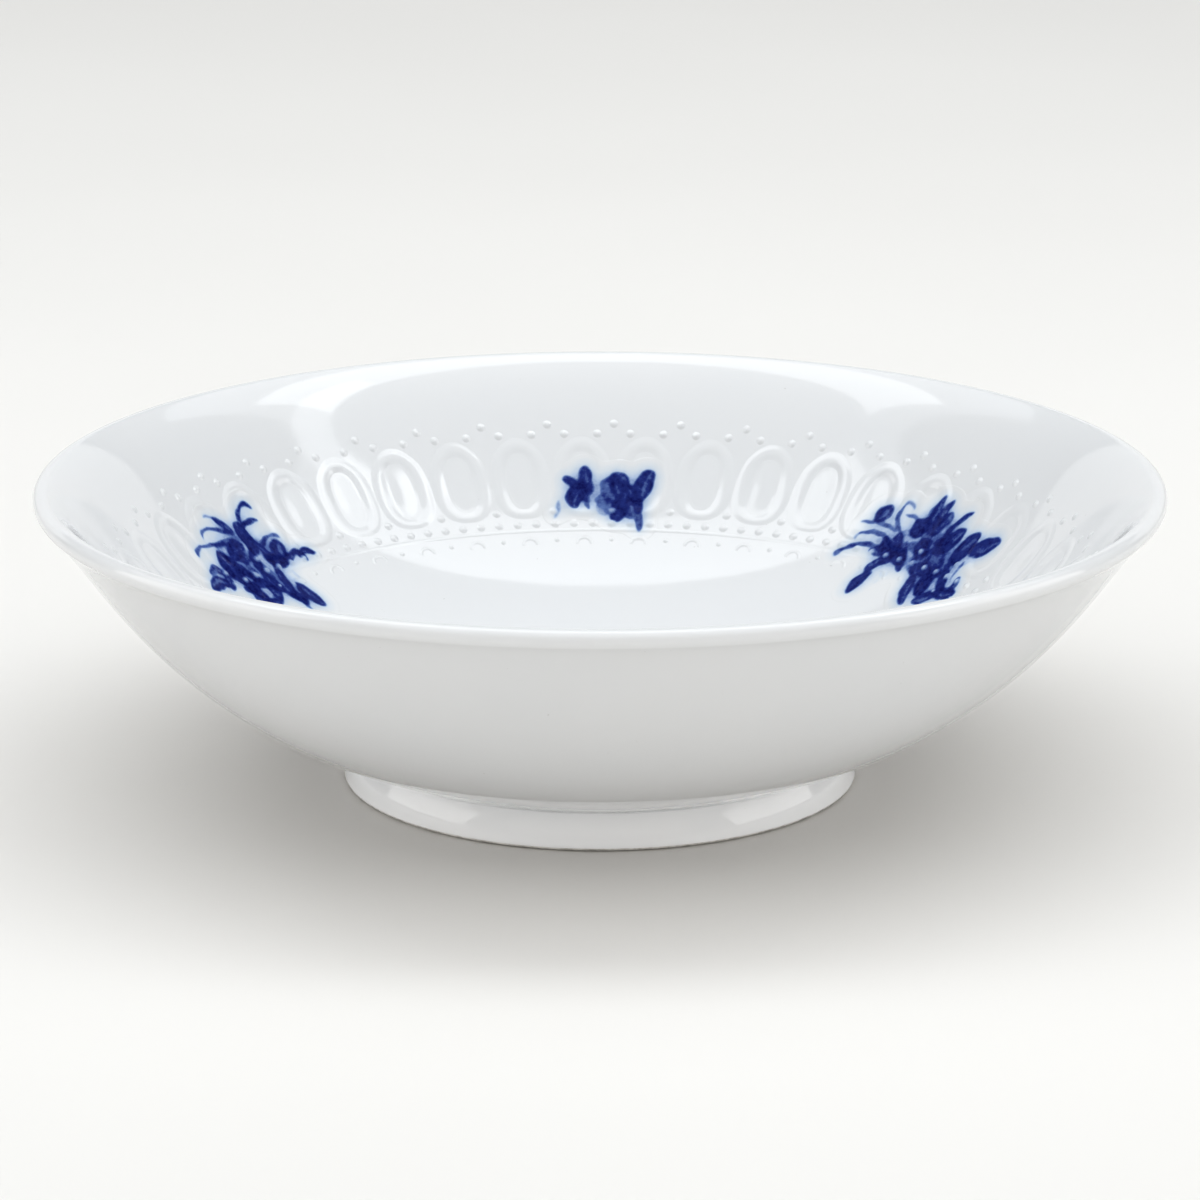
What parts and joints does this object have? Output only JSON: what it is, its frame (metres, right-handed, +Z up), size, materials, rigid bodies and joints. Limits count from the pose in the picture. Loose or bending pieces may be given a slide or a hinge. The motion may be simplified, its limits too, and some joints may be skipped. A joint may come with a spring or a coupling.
{
  "type": "porcelain serving bowl",
  "caption": "Round porcelain serving bowl on a low foot ring, with a raised band of ovals and beads inside the wall and blue flower sprays, for holding food.",
  "frame": {"origin": "centre of the foot ring's bearing edge, on the surface the bowl stands on", "axes": "+Z up along the bowl's axis of rotation; +Y towards the side with the small flower spray, +X to its right seen from the opposite side"},
  "size_m": [0.25, 0.25, 0.0684],
  "materials": {
    "porcelain": "clear gloss glaze over white porcelain",
    "foot_porcelain": "gloss glaze on the sides, wiped bare and polished on the bearing edge",
    "relief_porcelain": "clear gloss glaze pooled softly over the raised ornament",
    "cobalt": "cobalt painted in the glaze, gloss, with a soft pale blue edge"
  },
  "bodies": {
    "root": {"bowl_body": "porcelain", "foot_ring": "foot_porcelain", "oval_frames": "relief_porcelain", "oval_bosses": "relief_porcelain", "crown_beads": "relief_porcelain", "lower_beads": "relief_porcelain", "band_line": "relief_porcelain", "arches": "relief_porcelain", "arch_beads": "relief_porcelain", "large_spray_left": "cobalt", "large_spray_right": "cobalt", "large_spray_front": "cobalt", "small_spray_rear": "cobalt", "small_spray_front_left": "cobalt", "small_spray_front_right": "cobalt"}
  },
  "joints": []
}
